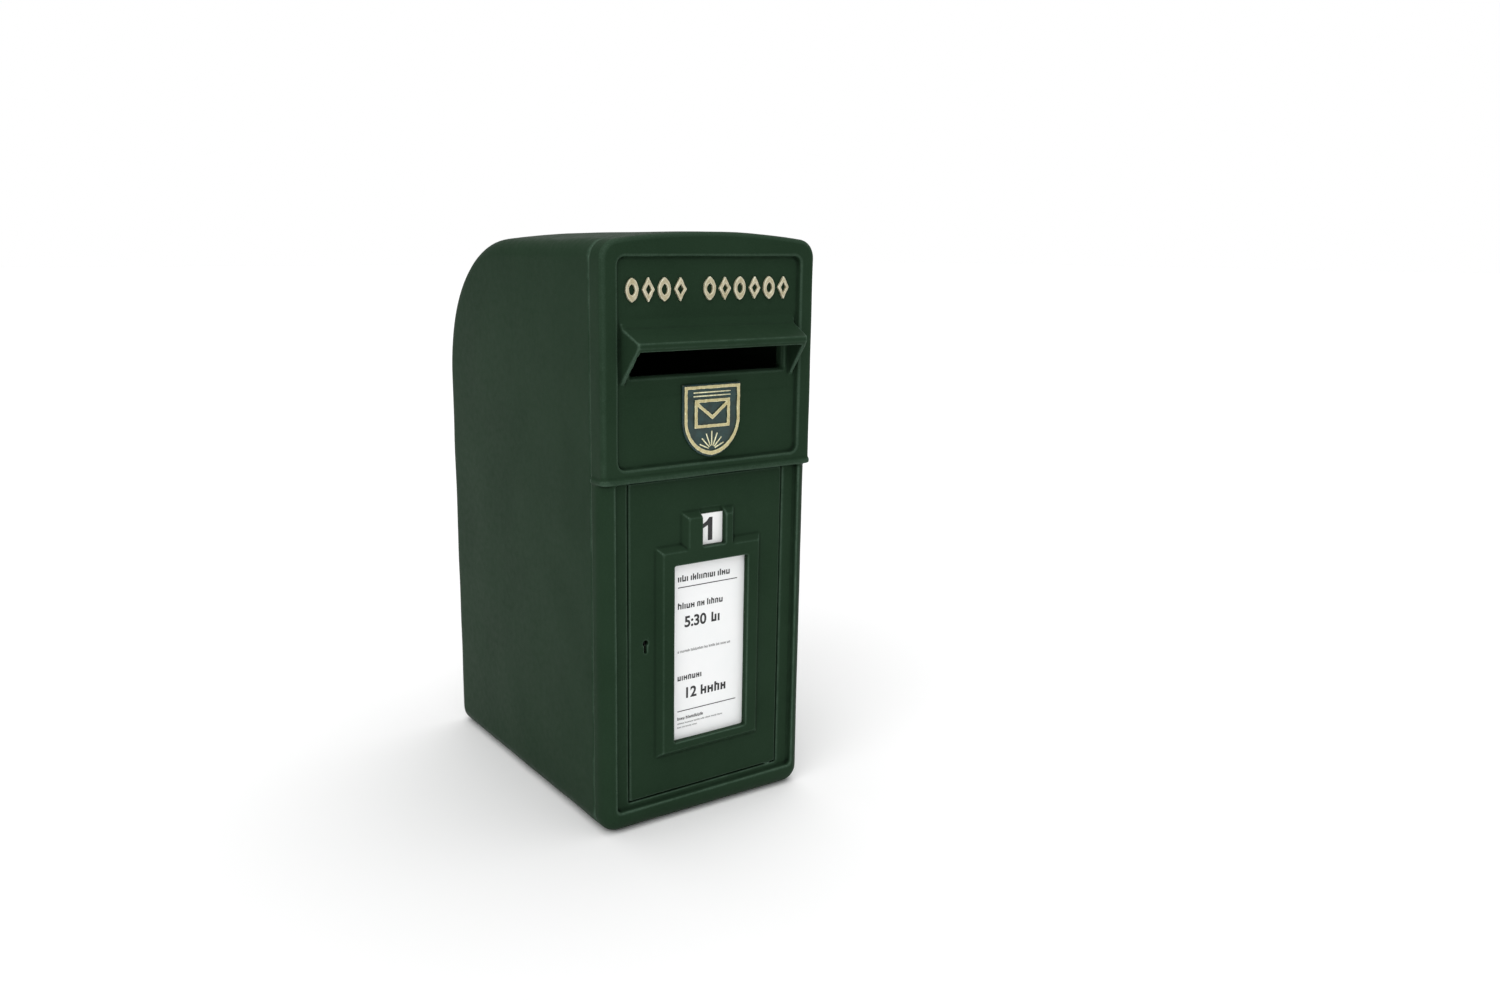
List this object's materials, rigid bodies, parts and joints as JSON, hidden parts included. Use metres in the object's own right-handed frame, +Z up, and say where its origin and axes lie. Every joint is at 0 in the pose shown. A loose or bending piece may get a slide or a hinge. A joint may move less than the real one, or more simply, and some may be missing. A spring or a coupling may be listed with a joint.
{
  "type": "mailbox",
  "caption": "Cast-metal mailbox with a round-backed shell, hooded letter slot, gilt relief, and a lockable side-hinged door that holds a notice card and a number tile.",
  "frame": {"origin": "centre of the bounding box at the base, on the surface that the box stands on", "axes": "+Z up, the front with slot and door faces -Y, +X to the right of someone facing the front"},
  "size_m": [0.2404, 0.375, 0.57],
  "materials": {
    "body_paint": "dark green satin paint over a cast surface",
    "gilt_paint": "pale gold brushed paint on raised relief",
    "zinc_steel": "zinc plated steel fixings",
    "lock_steel": "bright pressed steel",
    "brass": "turned brass",
    "card_white": "white laminated card with black print",
    "tile_white": "white enamelled number tile",
    "foam_black": "black foam rubber pad"
  },
  "bodies": {
    "housing": {"housing_shell": "body_paint", "front_frame": "body_paint", "front_frame_bolts": "zinc_steel", "front_frame_washers": "zinc_steel", "frieze_relief": "gilt_paint", "crest_badge": "body_paint", "crest_badge_lines": "gilt_paint", "strike_plate": "lock_steel", "strike_plate_screws": "zinc_steel", "hinge_thrust_washer": "brass"},
    "door": {"door_leaf": "body_paint", "notice_card": "card_white", "card_backing_pad": "foam_black", "card_backplate": "lock_steel", "card_backplate_screws": "zinc_steel", "number_tile": "tile_white", "hinge_pin_upper": "zinc_steel", "hinge_pin_lower": "zinc_steel", "lock_case": "lock_steel", "lock_cap": "lock_steel", "lock_cap_screws": "zinc_steel", "lock_case_screws": "zinc_steel", "lock_pivot_stud": "lock_steel", "lock_key_pin": "lock_steel", "lock_lever_spring": "lock_steel"},
    "lock_bolt": {"lock_bolt": "brass"},
    "lock_lever": {"lock_lever": "brass"}
  },
  "joints": [
    {"name": "door_hinge", "type": "hinge", "parent": "housing", "child": "door", "pos_m": [0.08, -0.1541, 0.18], "axis": [0, 0, 1], "range_deg": [0, 110]},
    {"name": "lock_bolt_slide", "type": "slide", "parent": "door", "child": "lock_bolt", "axis": [-1, 0, 0], "range_m": [0, 0.011]},
    {"name": "lock_lever_pivot", "type": "hinge", "parent": "door", "child": "lock_lever", "pos_m": [-0.0623, -0.1508, 0.19], "axis": [0, 1, 0], "range_deg": [0, 10], "stiffness_Nm_per_rad": 0.02, "springref_deg": -17.19, "deforming": ["lock_lever_spring"]}
  ]
}
